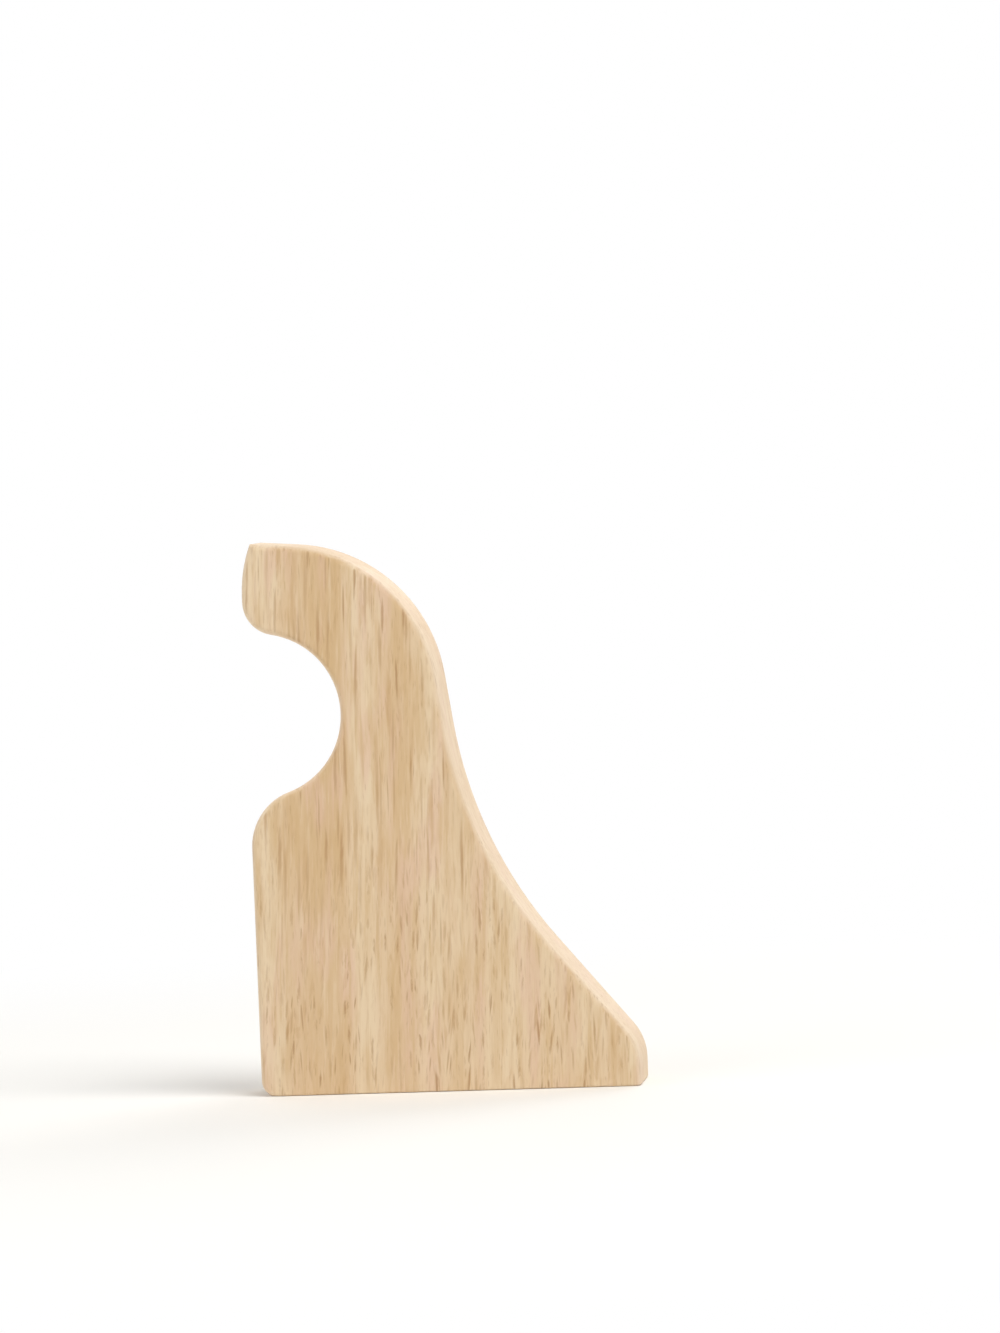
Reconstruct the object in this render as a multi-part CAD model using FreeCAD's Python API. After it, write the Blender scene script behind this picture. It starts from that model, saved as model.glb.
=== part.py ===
# Wooden curtain pole bracket: one piece of hardwood, sawn to an S outline,
# with an open cup for the pole and two routed keyholes in the wall face.
# It stands on its wall face: +Z points out of the wall, -X is up on the wall,
# and the thickness lies along Y. All lengths are in millimetres.

import math
import os

import FreeCAD
import Part

# stock
thickness = 22.2
baseLength = 88.9

# cup for the pole
poleDiameter = 34.9
poleClearance = 1.6
cupRadius = poleDiameter / 2 + poleClearance
poleReturn = 88.9
cupInset = 3.0

# heel, where the outline leaves the wall at a low angle and turns up
heelRadius = 4.0
heelRise = 25.0

# lips of the cup
shoulderRadius = 13.5
noseRadius = 7.9
noseFlat = 1.5

# hook above the cup, and the crown that goes over it
hookEdgeRadius = 32.0
hookEdgeSweep = 45.0
crownRadius = 36.6
crownAcross = 5.3
crownAbove = 2.8
topSlope = 4.6

# back of the bracket: waist, sweep, tail and toe
waistLean = 8.0
sweepRadius = 102.9
tailNormal = 39.6
toeHeight = 9.4
toeRadius = 12.7

# edges
roundover = 1.6
wallEdgeEase = 0.5

# keyholes for two wood screws, heads entering low and the necks running up
screwHead = 8.5
screwShank = 4.2
headClearance = 0.5
neckClearance = 0.5
screwSpacing = 50.8
topScrewInset = 13.2
keyholeTravel = 11.0
keyholeLip = 4.8
keyholeDepth = 9.6


# how far the two sides' slabs run past the bracket before they are joined,
# how far the keyhole cutter starts outside the wood, and when two lengths agree
overrun = 40.0
cutterRun = 1.0
tolerance = 0.01


def direction(degrees):
    angle = math.radians(degrees)
    return FreeCAD.Vector(math.cos(angle), 0, math.sin(angle))


def across(degrees):
    angle = math.radians(degrees)
    return FreeCAD.Vector(-math.sin(angle), 0, math.cos(angle))


def at(x, z):
    return FreeCAD.Vector(x - baseLength / 2, 0, z)


def line(start, end):
    return Part.makeLine(start, end)


# the short way round from start to end, on a circle about centre
def arc(centre, start, end):
    radius = start.sub(centre).Length
    middle = start.sub(centre).add(end.sub(centre))
    middle.normalize()
    return Part.Arc(start, centre.add(middle * radius), end).toShape()


# the long way round, for the cup, whose arc may pass half a turn
def cupArc(centre, start, end):
    inner = centre.add(FreeCAD.Vector(cupRadius, 0, 0))
    return Part.Arc(start, inner, end).toShape()


# centre of a lip arc that touches the upright at the base's end and the cup's circle
def lipCentre(cup, radius, side):
    dx = radius - cupInset
    dz = math.sqrt((cupRadius + radius) ** 2 - dx ** 2)
    return at(radius, cup.z + side * dz)


def onCup(cup, centre):
    toward = centre.sub(cup)
    toward.normalize()
    return cup.add(toward * cupRadius)


# where two lines meet, each given by a point and the angle of its normal
def meeting(pointA, normalA, pointB, normalB):
    a = direction(normalA)
    b = direction(normalB)
    sizeA = a.dot(pointA)
    sizeB = b.dot(pointB)
    scale = a.x * b.z - a.z * b.x
    x = (sizeA * b.z - sizeB * a.z) / scale
    z = (sizeB * a.x - sizeA * b.x) / scale
    return FreeCAD.Vector(x, 0, z)


# left side of the outline, from under the wall face round the heel and past the hook
def hookSide(cup):
    heelCentre = at(heelRadius, heelRadius * math.cos(math.radians(heelRise)))
    heelStart = heelCentre.add(direction(270 - heelRise) * heelRadius)
    runOut = heelStart.add(direction(-heelRise) * overrun)
    heelEnd = at(0, heelCentre.z)
    shoulder = lipCentre(cup, shoulderRadius, -1)
    nose = lipCentre(cup, noseRadius, 1)
    shoulderStart = at(0, shoulder.z)
    cupStart = onCup(cup, shoulder)
    cupEnd = onCup(cup, nose)
    noseTop = at(0, nose.z)
    flatTop = at(0, nose.z + noseFlat)
    edgeCentre = at(hookEdgeRadius, flatTop.z)
    edgeEnd = edgeCentre.add(direction(180 - hookEdgeSweep) * hookEdgeRadius)
    return [
        line(runOut, heelStart),
        arc(heelCentre, heelStart, heelEnd),
        line(heelEnd, shoulderStart),
        arc(shoulder, shoulderStart, cupStart),
        cupArc(cup, cupStart, cupEnd),
        arc(nose, cupEnd, noseTop),
        line(noseTop, flatTop),
        arc(edgeCentre, flatTop, edgeEnd),
    ]


# arc that rounds the corner between two straight runs, of the given radius
# or as large as the shorter run allows; returns its start, middle and end
def cornerArc(start, corner, end, radius):
    before = start.sub(corner)
    after = end.sub(corner)
    half = before.getAngle(after) / 2
    reach = min(radius / math.tan(half), before.Length, after.Length)
    before.normalize()
    after.normalize()
    inward = before.add(after)
    inward.normalize()
    depth = reach / math.cos(half) - reach * math.tan(half)
    return corner.add(before * reach), corner.add(inward * depth), corner.add(after * reach)


# straight edge from start to end, or none where the arcs beside it meet
def run(start, end):
    return [line(start, end)] if start.distanceToPoint(end) > tolerance else []


# right side of the outline, from the hook's top down to the wall
def backSide(cup):
    crown = cup.add(FreeCAD.Vector(crownAcross, 0, crownAbove))
    topStart = crown.add(direction(90 - topSlope) * crownRadius)
    topEnd = topStart.add(across(90 - topSlope) * overrun)
    crownEnd = crown.add(direction(waistLean) * crownRadius)
    heel = at(baseLength, 0)
    toe = at(baseLength, toeHeight)
    waist = meeting(crownEnd, waistLean, toe, tailNormal)
    toeArc = cornerArc(waist, toe, heel, toeRadius)
    sweepArc = cornerArc(crownEnd, waist, toeArc[0], sweepRadius)
    return [
        line(topEnd, topStart),
        arc(crown, topStart, crownEnd),
        *run(crownEnd, sweepArc[0]),
        Part.Arc(*sweepArc).toShape(),
        *run(sweepArc[2], toeArc[0]),
        Part.Arc(*toeArc).toShape(),
        *run(toeArc[2], heel),
    ]


# slab bounded by one side's outline and closed by a far corner, with that
# side's edges rounded over on both faces
def sidedSlab(side, farX):
    first = side[0].Vertexes[0].Point
    last = side[-1].Vertexes[-1].Point
    farTop = FreeCAD.Vector(farX, 0, max(first.z, last.z))
    farLow = FreeCAD.Vector(farX, 0, min(first.z, last.z))
    if first.z < last.z:
        closing = [line(last, farTop), line(farTop, farLow), line(farLow, first)]
    else:
        closing = [line(last, farLow), line(farLow, farTop), line(farTop, first)]
    face = Part.Face(Part.Wire(side + closing))
    face.translate(FreeCAD.Vector(0, -thickness / 2, 0))
    slab = face.extrude(FreeCAD.Vector(0, thickness, 0))
    return slab.makeFillet(roundover, rimEdges(slab, side))


# the slab's edges that lie over the given outline on either face
def rimEdges(slab, side):
    chosen = []
    for edge in slab.Edges:
        box = edge.BoundBox
        if box.YLength > tolerance:
            continue
        middle = edge.valueAt((edge.FirstParameter + edge.LastParameter) / 2)
        flat = Part.Vertex(FreeCAD.Vector(middle.x, 0, middle.z))
        if min(flat.distToShape(piece)[0] for piece in side) < tolerance:
            chosen.append(edge)
    return chosen


def wallEdges(body):
    return [edge for edge in body.Edges if edge.BoundBox.ZMax < tolerance]


def blank():
    cup = at(cupInset, poleReturn)
    hook = sidedSlab(hookSide(cup), at(baseLength + overrun, 0).x)
    back = sidedSlab(backSide(cup), at(-overrun, 0).x)
    body = hook.common(back).removeSplitter()
    body = body.Solids[0]
    return body.makeFillet(wallEdgeEase, wallEdges(body))


# outline of the keyhole's mouth: round for the head, a neck for the shank
def mouthFace(entryX, headRadius, neckHalf):
    reach = math.sqrt(headRadius ** 2 - neckHalf ** 2)
    endX = entryX - keyholeTravel
    low = FreeCAD.Vector(entryX - reach, -neckHalf, 0)
    high = FreeCAD.Vector(entryX - reach, neckHalf, 0)
    endLow = FreeCAD.Vector(endX, -neckHalf, 0)
    endHigh = FreeCAD.Vector(endX, neckHalf, 0)
    endTip = FreeCAD.Vector(endX - neckHalf, 0, 0)
    entryTip = FreeCAD.Vector(entryX + headRadius, 0, 0)
    edges = [
        Part.Arc(low, entryTip, high).toShape(),
        line(high, endHigh),
        Part.Arc(endHigh, endTip, endLow).toShape(),
        line(endLow, low),
    ]
    return Part.Face(Part.Wire(edges))


# outline of the undercut in which the screw's head slides
def undercutFace(entryX, headRadius):
    endX = entryX - keyholeTravel
    low = FreeCAD.Vector(entryX, -headRadius, 0)
    high = FreeCAD.Vector(entryX, headRadius, 0)
    endLow = FreeCAD.Vector(endX, -headRadius, 0)
    endHigh = FreeCAD.Vector(endX, headRadius, 0)
    edges = [
        Part.Arc(low, FreeCAD.Vector(entryX + headRadius, 0, 0), high).toShape(),
        line(high, endHigh),
        Part.Arc(endHigh, FreeCAD.Vector(endX - headRadius, 0, 0), endLow).toShape(),
        line(endLow, low),
    ]
    return Part.Face(Part.Wire(edges))


def keyhole(entryX):
    headRadius = screwHead / 2 + headClearance
    neckHalf = screwShank / 2 + neckClearance
    mouth = mouthFace(entryX, headRadius, neckHalf)
    mouth.translate(FreeCAD.Vector(0, 0, -cutterRun))
    mouth = mouth.extrude(FreeCAD.Vector(0, 0, cutterRun + keyholeLip))
    undercut = undercutFace(entryX, headRadius)
    undercut.translate(FreeCAD.Vector(0, 0, keyholeLip))
    undercut = undercut.extrude(FreeCAD.Vector(0, 0, keyholeDepth - keyholeLip))
    return mouth.fuse(undercut)


def bracket():
    body = blank()
    upperEntry = at(topScrewInset + keyholeTravel, 0).x
    for entryX in (upperEntry, upperEntry + screwSpacing):
        body = body.cut(keyhole(entryX))
    return body.Solids[0]


os.makedirs("parts", exist_ok=True)
body = bracket()
body.exportStep("parts/bracket_body.step")
print("volume", round(body.Volume), "valid", body.isValid(), "solids", len(body.Solids))
print("box", body.BoundBox)
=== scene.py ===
# Bare hardwood curtain pole bracket, standing on its wall face
import math

import bpy
from mathutils import Matrix, Vector

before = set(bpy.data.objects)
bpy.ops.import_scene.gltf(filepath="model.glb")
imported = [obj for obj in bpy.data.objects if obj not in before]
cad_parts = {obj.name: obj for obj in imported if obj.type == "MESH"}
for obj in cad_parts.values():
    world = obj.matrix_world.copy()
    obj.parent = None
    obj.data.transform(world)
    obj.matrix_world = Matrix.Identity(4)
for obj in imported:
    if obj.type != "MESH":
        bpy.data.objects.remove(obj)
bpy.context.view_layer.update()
bpy.ops.object.select_all(action="DESELECT")
print("bracket loaded")

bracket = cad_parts["bracket_body"]
mm = 0.001


def paint(red, green, blue):
    # screen colour, 0 to 255, as the linear colour that a shader takes
    def linear(value):
        share = value / 255
        return share / 12.92 if share <= 0.04045 else ((share + 0.055) / 1.055) ** 2.4
    return (linear(red), linear(green), linear(blue), 1.0)


# small helpers for building shader trees

def newNode(tree, kind, inputs=None, **settings):
    node = tree.nodes.new(kind)
    for name, value in settings.items():
        setattr(node, name, value)
    for name, value in (inputs or {}).items():
        if isinstance(value, bpy.types.NodeSocket):
            tree.links.new(value, node.inputs[name])
        else:
            node.inputs[name].default_value = value
    return node


def calc(tree, operation, first, second=0.0, third=0.0, clamp=False):
    node = newNode(tree, "ShaderNodeMath", {0: first, 1: second, 2: third}, operation=operation)
    node.use_clamp = clamp
    return node.outputs[0]


def product(tree, first, *others):
    for other in others:
        first = calc(tree, "MULTIPLY", first, other)
    return first


def oneMinus(tree, value):
    return calc(tree, "SUBTRACT", 1.0, value)


def between(tree, share, low, high):
    # low where share is 0, high where it is 1
    return calc(tree, "MULTIPLY_ADD", share, high - low, low)


def vectorCalc(tree, operation, first, second=(0.0, 0.0, 0.0)):
    node = newNode(tree, "ShaderNodeVectorMath", {0: first, 1: second}, operation=operation)
    return node.outputs["Value" if operation == "LENGTH" else "Vector"]


def axes(tree, vector):
    return newNode(tree, "ShaderNodeSeparateXYZ", {"Vector": vector}).outputs


def ramp(tree, value, low, high, fromLow=0.0, fromHigh=1.0):
    # smooth step from fromLow to fromHigh as value goes from low to high
    node = newNode(tree, "ShaderNodeMapRange", {
        "Value": value, "From Min": low, "From Max": high, "To Min": fromLow, "To Max": fromHigh,
    }, interpolation_type="SMOOTHSTEP")
    return node.outputs["Result"]


def noise(tree, place, size, detail=2.0, roughness=0.5):
    # soft blotches of the given size along X, Y and Z
    node = newNode(tree, "ShaderNodeTexNoise", {
        "Vector": vectorCalc(tree, "DIVIDE", place, size),
        "Scale": 1.0, "Detail": detail, "Roughness": roughness,
    })
    return node.outputs["Fac"]


def blendColour(tree, share, first, second):
    node = newNode(tree, "ShaderNodeMix", {0: share, 6: first, 7: second}, data_type="RGBA")
    node.clamp_factor = True
    return node.outputs[2]


# bare hardwood, lengths in mm, Z along the grain
# four numbers in a row: where a change starts and ends, and its share at each end

wood = dict(
    # how the piece lies in the tree
    cutFrom=(0.0, 0.0, 1727.8),        # its place up the trunk
    grainLean=math.radians(1.8),       # the grain leans off the long edge
    wander=1.7,                        # how far a fibre strays sideways
    wanderSize=(42.75, 42.75, 95.0),
    wanderDetail=1.5,

    # growth rings
    pith=(-240.0, 60.0),               # their centre, far outside the piece
    ringWidth=15.0,
    ringStart=1.75,
    ringDrift=0.5,                     # how far a ring strays, in rings
    ringDetail=1.0,
    paleRings=(0.40, 0.60, 0.0, 0.85),
    darkRings=(0.50, 0.28),
    darkShare=(0.44, 0.80),            # near the wall, and above

    # colours
    pale=paint(233, 211, 178),
    mid=paint(224, 196, 160),
    tan=paint(211, 178, 132),
    pink=paint(226, 193, 167),
    brown=paint(196, 156, 108),
    pore=paint(160, 110, 58),
    sandedHighlight=paint(234, 214, 190),       # sides and edges, fresh from the sander and paler still as a painted highlight
    endGrain=paint(206, 172, 128),
    routed=paint(176, 132, 84),

    # noise patterns, sized along X, Y and the grain
    sway=dict(size=(16.0, 16.0, 120.0)),
    margin=dict(size=(7.0, 7.0, 30.0)),
    patches=dict(size=(6.0, 6.0, 34.0)),
    streaks=dict(size=(1.9, 1.9, 24.0), detail=3.0, roughness=0.55),
    flecks=dict(size=(1.5, 1.5, 5.5)),
    fibres=dict(size=(0.45, 0.45, 7.0), detail=3.0, roughness=0.6),
    crowding=dict(size=(5.0, 5.0, 26.0)),
    stagger=dict(size=(2.2, 2.2, 70.0), detail=1.0),
    strokes=dict(size=(4.0, 4.0, 6.0)),
    sanding=dict(size=(5.0, 0.16, 5.0)),
    sawLines=dict(size=(0.55, 24.0, 5.0)),
    hand=dict(size=(3.2, 3.2, 3.2), detail=1.0),
    fineRings=dict(size=(0.62, 9.0, 38.0), roughness=0.55),    # across the rings, along, up

    # tints, one over the other: pattern, colour, where the tint starts and is full, its share
    tints=(
        ("patches", "pink", 0.50, 0.64, 0.60),
        ("patches", "tan", 0.48, 0.34, 0.45),
        ("streaks", "tan", 0.50, 0.66, 0.50),
        ("streaks", "pale", 0.46, 0.32, 0.40),
        ("flecks", "tan", 0.54, 0.68, 0.25),
        ("fineRings", "tan", 0.52, 0.70, 0.25),
        ("fibres", "tan", 0.52, 0.72, 0.40),
        ("fibres", "pale", 0.46, 0.28, 0.30),
    ),

    # brown streaks and pores: size of a cell, radius in cells, share of cells kept, strength
    longStreak=dict(across=2.20, along=34.0, radius=0.46, kept=0.62, strength=0.55),
    shortStreak=dict(across=1.60, along=9.0, radius=0.46, kept=0.74, strength=0.50),
    longPore=dict(across=1.10, along=20.0, radius=0.48, kept=0.68, strength=0.63),
    shortPore=dict(across=0.92, along=6.5, radius=0.50, kept=0.80, strength=0.62),
    finePore=dict(across=0.50, along=4.0, radius=0.40, kept=0.62, strength=0.28),
    poreSize=(0.55, 1.25),             # smallest and largest, in parts of the radius
    poreDepth=(0.4, 1.0),              # faintest and darkest
    poreEdge=(1.45, 0.70),
    poreFray=dict(across=0.6, along=0.16, strength=0.9),       # sizes in parts of a cell
    keptSoftly=0.04,
    staggerBy=26.0,                    # how far pores shift along the grain
    crowded=(0.30, 0.55, 0.60, 1.0),
    poreChange=(20.0, 62.0),           # heights between which short pores give way to long ones
    marginDrift=60.0,                  # how far that change strays up and down
    longShare=(0.1, 1.0),              # near the wall, and above
    shortShare=(1.0, 0.2),

    # sanded edges with a painted highlight, the sawn wall face and the routed keyholes
    strokeDepth=0.16,
    edge=(1.06, 0.62),                 # from planed face to edge, by how far it faces sideways
    # how much paler the sides and edges are: sanded wood and a painted highlight
    sandedHighlightShare=0.44,
    facingDown=(-0.70, -0.97),
    nearWall=(20.0, 14.0),             # height below which what faces down is the wall face
    endShare=0.45,
    lateWood=(0.46, 0.62, 0.0, 0.50),
    keyholeReach=dict(X=38.0, Y=5.3, Z=9.9),
    keyholeEase=0.4,
    burnt=(0.35, 0.60, 0.35, 0.75),

    # gloss and relief
    roughness=0.52,
    specular=0.38,
    roughening=dict(fibres=0.16, rim=-0.08, marks=0.25),
    rise=dict(marks=-0.035, fibres=0.030, streaks=0.030, sanding=0.002, sawLines=0.05, hand=0.22),
)


def woodSpace(tree):
    # place in the tree with the fibres' wander, and place in the piece without it
    place = newNode(tree, "ShaderNodeTexCoord").outputs["Object"]
    turned = newNode(tree, "ShaderNodeMapping", {
        "Vector": place, "Rotation": (0, -wood["grainLean"], 0), "Scale": (1 / mm, 1 / mm, 1 / mm),
    }).outputs["Vector"]
    inTree = vectorCalc(tree, "ADD", turned, wood["cutFrom"])
    drift = newNode(tree, "ShaderNodeTexNoise", {
        "Vector": vectorCalc(tree, "DIVIDE", inTree, wood["wanderSize"]),
        "Scale": 1.0, "Detail": wood["wanderDetail"],
    })
    centred = vectorCalc(tree, "SUBTRACT", drift.outputs["Color"], (0.5, 0.5, 0.5))
    shift = vectorCalc(tree, "MULTIPLY", centred, (2 * wood["wander"], 2 * wood["wander"], 0))
    return vectorCalc(tree, "ADD", inTree, shift), turned


def growthRings(tree, fibre):
    flat = vectorCalc(tree, "MULTIPLY", fibre, (1, 1, 0))
    radius = vectorCalc(tree, "LENGTH", vectorCalc(tree, "SUBTRACT", flat, (*wood["pith"], 0)))
    turns = calc(tree, "DIVIDE", radius, wood["ringWidth"])
    turns = calc(tree, "ADD", turns, wood["ringStart"] - wood["ringDrift"] / 2)
    sway = noise(tree, fibre, **wood["sway"])
    turns = calc(tree, "MULTIPLY_ADD", sway, wood["ringDrift"], turns)
    rings = newNode(tree, "ShaderNodeTexNoise", {
        "W": turns, "Scale": 1.0, "Detail": wood["ringDetail"],
    }, noise_dimensions="1D").outputs["Fac"]
    place = axes(tree, fibre)
    unrolled = newNode(tree, "ShaderNodeCombineXYZ", {
        "X": radius, "Y": place["X"], "Z": place["Z"],
    }).outputs["Vector"]
    return dict(rings=rings, fineRings=noise(tree, unrolled, **wood["fineRings"]))


def upperWood(tree, fibre, straight):
    # 0 near the wall and 1 above, with an uneven margin between
    level = calc(tree, "SUBTRACT", axes(tree, straight)["Z"], wood["marginDrift"] / 2)
    margin = noise(tree, fibre, **wood["margin"])
    level = calc(tree, "MULTIPLY_ADD", margin, wood["marginDrift"], level)
    return ramp(tree, level, *wood["poreChange"])


def pores(tree, fibre, name, share):
    # vessels cut open by the surface: long thin cells along the grain, some left out
    kind = wood[name]
    across = kind["across"]
    along = kind["along"]
    cells = newNode(tree, "ShaderNodeTexVoronoi", {
        "Vector": vectorCalc(tree, "DIVIDE", fibre, (across, across, along)),
        "Scale": 1.0, "Randomness": 1.0,
    }).outputs
    pick = newNode(tree, "ShaderNodeSeparateColor", {"Color": cells["Color"]}).outputs
    size = between(tree, pick["Red"], *(kind["radius"] * part for part in wood["poreSize"]))
    near = calc(tree, "DIVIDE", cells["Distance"], size)
    fray = wood["poreFray"]
    fraySize = (across * fray["across"], across * fray["across"], along * fray["along"])
    near = calc(tree, "MULTIPLY_ADD", noise(tree, fibre, fraySize), fray["strength"], near)
    body = ramp(tree, near, *wood["poreEdge"])
    limit = 1 - kind["kept"]
    kept = ramp(tree, pick["Green"], limit - wood["keptSoftly"], limit + wood["keptSoftly"])
    depth = between(tree, pick["Blue"], *wood["poreDepth"])
    return product(tree, body, kept, depth, share, kind["strength"])


def vessels(tree, fibre, upper):
    # brown streaks and pores: long ones above, short dashes near the wall
    longShare = between(tree, upper, *wood["longShare"])
    shortShare = between(tree, upper, *wood["shortShare"])
    crowd = ramp(tree, noise(tree, fibre, **wood["crowding"]), *wood["crowded"])
    stagger = product(tree, noise(tree, fibre, **wood["stagger"]), wood["staggerBy"])
    shift = newNode(tree, "ShaderNodeCombineXYZ", {"Z": stagger}).outputs["Vector"]
    fibre = vectorCalc(tree, "ADD", fibre, shift)

    def longAndShort(longKind, shortKind):
        longOnes = pores(tree, fibre, longKind, longShare)
        return calc(tree, "MAXIMUM", longOnes, pores(tree, fibre, shortKind, shortShare))

    stain = longAndShort("longStreak", "shortStreak")
    marks = product(tree, longAndShort("longPore", "shortPore"), crowd)
    marks = calc(tree, "MAXIMUM", marks, pores(tree, fibre, "finePore", 1.0), clamp=True)
    return dict(stain=stain, marks=marks)


def routed(tree):
    # 1 on the walls of the keyholes, the only surfaces so near the middle of the wall face
    ease = wood["keyholeEase"]
    place = newNode(tree, "ShaderNodeTexCoord").outputs["Object"]
    place = axes(tree, vectorCalc(tree, "DIVIDE", place, (mm, mm, mm)))
    share = ramp(tree, place["Z"], 0.0, ease)
    for axis, reach in wood["keyholeReach"].items():
        away = calc(tree, "ABSOLUTE", place[axis])
        share = product(tree, share, ramp(tree, away, reach + ease, reach))
    return share


def toolWorkAndHighlight(tree, straight):
    # where the sander, the saw and the router have been, and the sides painted paler as a
    # highlight
    facing = axes(tree, newNode(tree, "ShaderNodeTexCoord").outputs["Normal"])
    faceOn = calc(tree, "ABSOLUTE", facing["Y"])
    strokes = noise(tree, straight, **wood["strokes"])
    down = ramp(tree, facing["Z"], *wood["facingDown"])
    wallFace = product(tree, down, ramp(tree, axes(tree, straight)["Z"], *wood["nearWall"]))
    edge = calc(tree, "MULTIPLY_ADD", strokes, wood["strokeDepth"], faceOn)
    return dict(
        wallFace=wallFace,
        # paler sides and edges: sanded wood and a painted highlight
        sandedHighlight=product(tree, ramp(tree, edge, *wood["edge"]), oneMinus(tree, wallFace)),
        rim=product(tree, faceOn, oneMinus(tree, faceOn), 4.0),     # times 4, to peak at 1
        routed=product(tree, routed(tree), ramp(tree, strokes, *wood["burnt"])),
    )


def woodMaps(tree):
    # all that colours or shapes the surface, each from 0 to 1
    fibre, straight = woodSpace(tree)
    maps = growthRings(tree, fibre)
    for name in ("patches", "streaks", "flecks", "fibres"):
        maps[name] = noise(tree, fibre, **wood[name])
    maps["upper"] = upperWood(tree, fibre, straight)
    maps.update(vessels(tree, fibre, maps["upper"]))
    maps.update(toolWorkAndHighlight(tree, straight))
    for name, area in (("sanding", "sandedHighlight"), ("sawLines", "wallFace"), ("hand", "rim")):
        maps[name] = product(tree, noise(tree, straight, **wood[name]), maps[area])
    return maps


def woodColour(tree, maps):
    # growth bands, darker above
    pale = ramp(tree, maps["rings"], *wood["paleRings"])
    dark = ramp(tree, maps["rings"], *wood["darkRings"])
    dark = product(tree, dark, between(tree, maps["upper"], *wood["darkShare"]))
    colour = blendColour(tree, pale, wood["mid"], wood["pale"])
    colour = blendColour(tree, dark, colour, wood["tan"])

    # patches, streaks, flecks and single fibres
    for name, tint, start, full, share in wood["tints"]:
        cover = ramp(tree, maps[name], start, full, 0.0, share)
        colour = blendColour(tree, cover, colour, wood[tint])

    # brown streaks and pores, edges paled by the sander and by a painted highlight, end grain on
    # the sawn wall face, and keyholes browned by the router
    lateWood = ramp(tree, maps["fineRings"], *wood["lateWood"])
    for cover, tint in (
        (maps["stain"], "brown"),
        (maps["marks"], "pore"),
        # sides and edges painted paler: sanded wood and a painted highlight
        (product(tree, maps["sandedHighlight"], wood["sandedHighlightShare"]), "sandedHighlight"),
        (product(tree, maps["wallFace"], wood["endShare"]), "endGrain"),
        (product(tree, maps["wallFace"], lateWood), "brown"),
        (maps["routed"], "routed"),
    ):
        colour = blendColour(tree, cover, colour, wood[tint])
    return colour


def bareWood():
    material = bpy.data.materials.new("bareHardwood")
    material.use_nodes = True
    tree = material.node_tree
    shader = tree.nodes["Principled BSDF"]
    maps = woodMaps(tree)
    tree.links.new(woodColour(tree, maps), shader.inputs["Base Color"])

    # gloss: duller with raised fibre and in the pores, smoother on the rounded rims
    rough = wood["roughness"]
    for name, change in wood["roughening"].items():
        rough = calc(tree, "MULTIPLY_ADD", maps[name], change, rough, clamp=True)
    tree.links.new(rough, shader.inputs["Roughness"])
    shader.inputs["Specular IOR Level"].default_value = wood["specular"]

    # relief: open pores, raised fibre, faint sanding lines along the edges, saw marks on the
    # wall face, hand-sanded rims
    relief = 0.0
    for name, rise in wood["rise"].items():
        relief = calc(tree, "MULTIPLY_ADD", maps[name], rise, relief)
    bump = newNode(tree, "ShaderNodeBump", {"Height": relief, "Distance": mm, "Strength": 1.0})
    tree.links.new(bump.outputs["Normal"], shader.inputs["Normal"])
    return material


bracket.data.materials.clear()
bracket.data.materials.append(bareWood())
print("wood finish made")


# pale floor, fading into the white background away from the bracket

floorLook = dict(
    size=12.0,
    drop=0.00005,                      # just below the wall face
    colour=paint(246, 245, 242),
    roughness=0.7,
    specular=0.2,
    clear=(0.16, 0.42),                # distances between which it fades
)


def paleFloor():
    bpy.ops.mesh.primitive_plane_add(size=floorLook["size"], location=(0, 0, -floorLook["drop"]))
    bpy.ops.object.transform_apply(location=True, rotation=False, scale=False)
    floor = bpy.context.object
    floor.name = "floor"
    material = bpy.data.materials.new("paleFloor")
    material.use_nodes = True
    tree = material.node_tree
    shader = tree.nodes["Principled BSDF"]
    shader.inputs["Base Color"].default_value = floorLook["colour"]
    shader.inputs["Roughness"].default_value = floorLook["roughness"]
    shader.inputs["Specular IOR Level"].default_value = floorLook["specular"]
    white = newNode(tree, "ShaderNodeEmission", {"Color": (1, 1, 1, 1), "Strength": 1.0})
    place = newNode(tree, "ShaderNodeTexCoord").outputs["Object"]
    away = ramp(tree, vectorCalc(tree, "LENGTH", place), *floorLook["clear"])
    seen = newNode(tree, "ShaderNodeLightPath").outputs["Is Camera Ray"]
    mix = newNode(tree, "ShaderNodeMixShader", {
        0: product(tree, away, seen), 1: shader.outputs[0], 2: white.outputs[0],
    })
    output = tree.nodes["Material Output"]
    tree.links.new(mix.outputs[0], output.inputs["Surface"])
    floor.data.materials.append(material)


paleFloor()


# soft studio light: an even room, a large key high on the right, a weaker fill at the
# left, and two lamps behind

studio = dict(
    room=0.34,
    key=dict(place=(0.80, -0.61, 1.68), size=1.2, power=23.2, colour=(1.0, 0.99, 0.97)),
    fill=dict(place=(-1.42, -1.05, 0.75), size=1.6, power=9.2, colour=(0.99, 0.99, 1.0)),
    back=dict(place=(0.57, 1.52, 1.05), size=1.2, power=9.6, colour=(1.0, 1.0, 1.0)),
    side=dict(place=(-0.95, 1.35, 0.80), size=1.4, power=4.0, colour=(1.0, 1.0, 1.0)),
    aim=(0.0, 0.0, 0.065),
)


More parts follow.
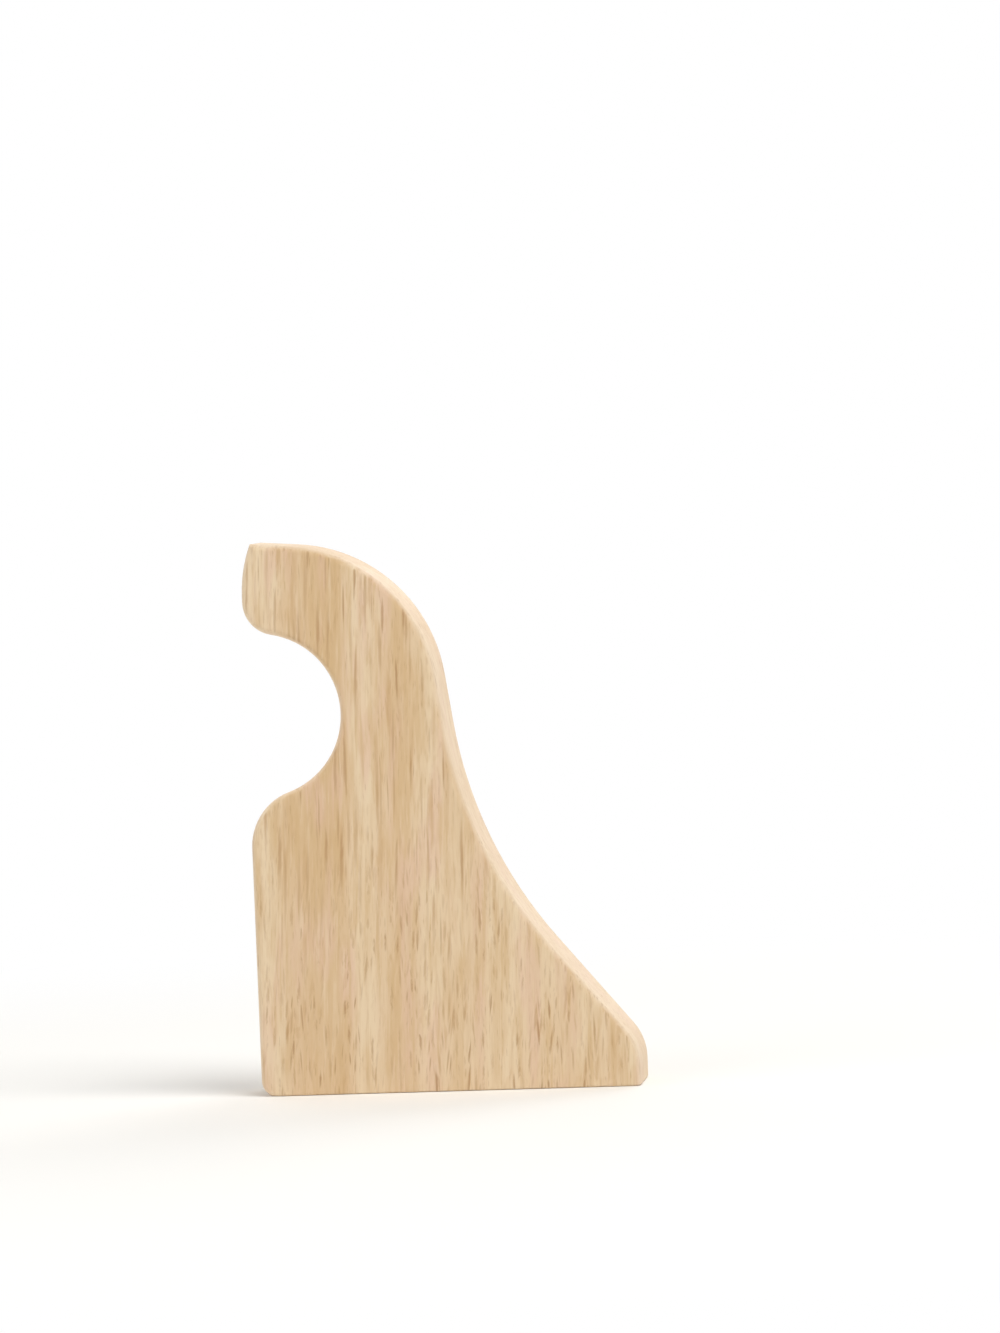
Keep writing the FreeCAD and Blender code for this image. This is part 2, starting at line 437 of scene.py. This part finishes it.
def softBox(name, place, size, power, colour):
    bpy.ops.object.light_add(type="AREA", location=place)
    lamp = bpy.context.object
    lamp.name = name
    lamp.data.shape = "DISK"
    lamp.data.size = size
    lamp.data.energy = power
    lamp.data.color = colour
    toAim = Vector(studio["aim"]) - Vector(place)
    lamp.rotation_euler = toAim.to_track_quat("-Z", "Y").to_euler()


def studioRoom():
    world = bpy.data.worlds.new("room")
    bpy.context.scene.world = world
    world.use_nodes = True
    tree = world.node_tree
    light = tree.nodes["Background"]
    light.inputs["Color"].default_value = (1, 1, 1, 1)
    light.inputs["Strength"].default_value = studio["room"]
    white = newNode(tree, "ShaderNodeBackground", {"Color": (1, 1, 1, 1), "Strength": 1.0})
    path = newNode(tree, "ShaderNodeLightPath")
    seen = calc(tree, "MAXIMUM", path.outputs["Is Camera Ray"], path.outputs["Is Glossy Ray"])
    mix = newNode(tree, "ShaderNodeMixShader", {0: seen, 1: light.outputs[0], 2: white.outputs[0]})
    tree.links.new(mix.outputs[0], tree.nodes["World Output"].inputs["Surface"])


for name in ("key", "fill", "back", "side"):
    softBox(name, **studio[name])
studioRoom()
print("studio lit")


# camera of the photograph: almost square to the face, a little to the right and above, and
# slightly rolled

shot = dict(
    azimuth=6.1, elevation=2.0, roll=-2.29,
    distance=1.5, aim=(0.0143, 0.0, 0.0980),
    focalPixels=6423.0, imageHeight=1333,
    clip=(0.05, 50.0),
)


def addCamera():
    azimuth, elevation, roll = (
        math.radians(shot[name]) for name in ("azimuth", "elevation", "roll")
    )
    back = Vector((
        math.sin(azimuth) * math.cos(elevation),
        -math.cos(azimuth) * math.cos(elevation),
        math.sin(elevation),
    ))
    level = Vector((math.cos(azimuth), math.sin(azimuth), 0))
    upright = back.cross(level)
    right = level * math.cos(roll) + upright * math.sin(roll)
    up = upright * math.cos(roll) - level * math.sin(roll)
    bpy.ops.object.camera_add()
    camera = bpy.context.object
    camera.name = "camera"
    turn = Matrix((right, up, back)).transposed().to_4x4()
    camera.matrix_world = Matrix.Translation(Vector(shot["aim"]) + back * shot["distance"]) @ turn
    camera.data.lens = shot["focalPixels"] * camera.data.sensor_width / shot["imageHeight"]
    camera.data.clip_start, camera.data.clip_end = shot["clip"]
    bpy.context.scene.camera = camera


addCamera()
bpy.context.scene.view_settings.view_transform = "Standard"
print("camera placed")
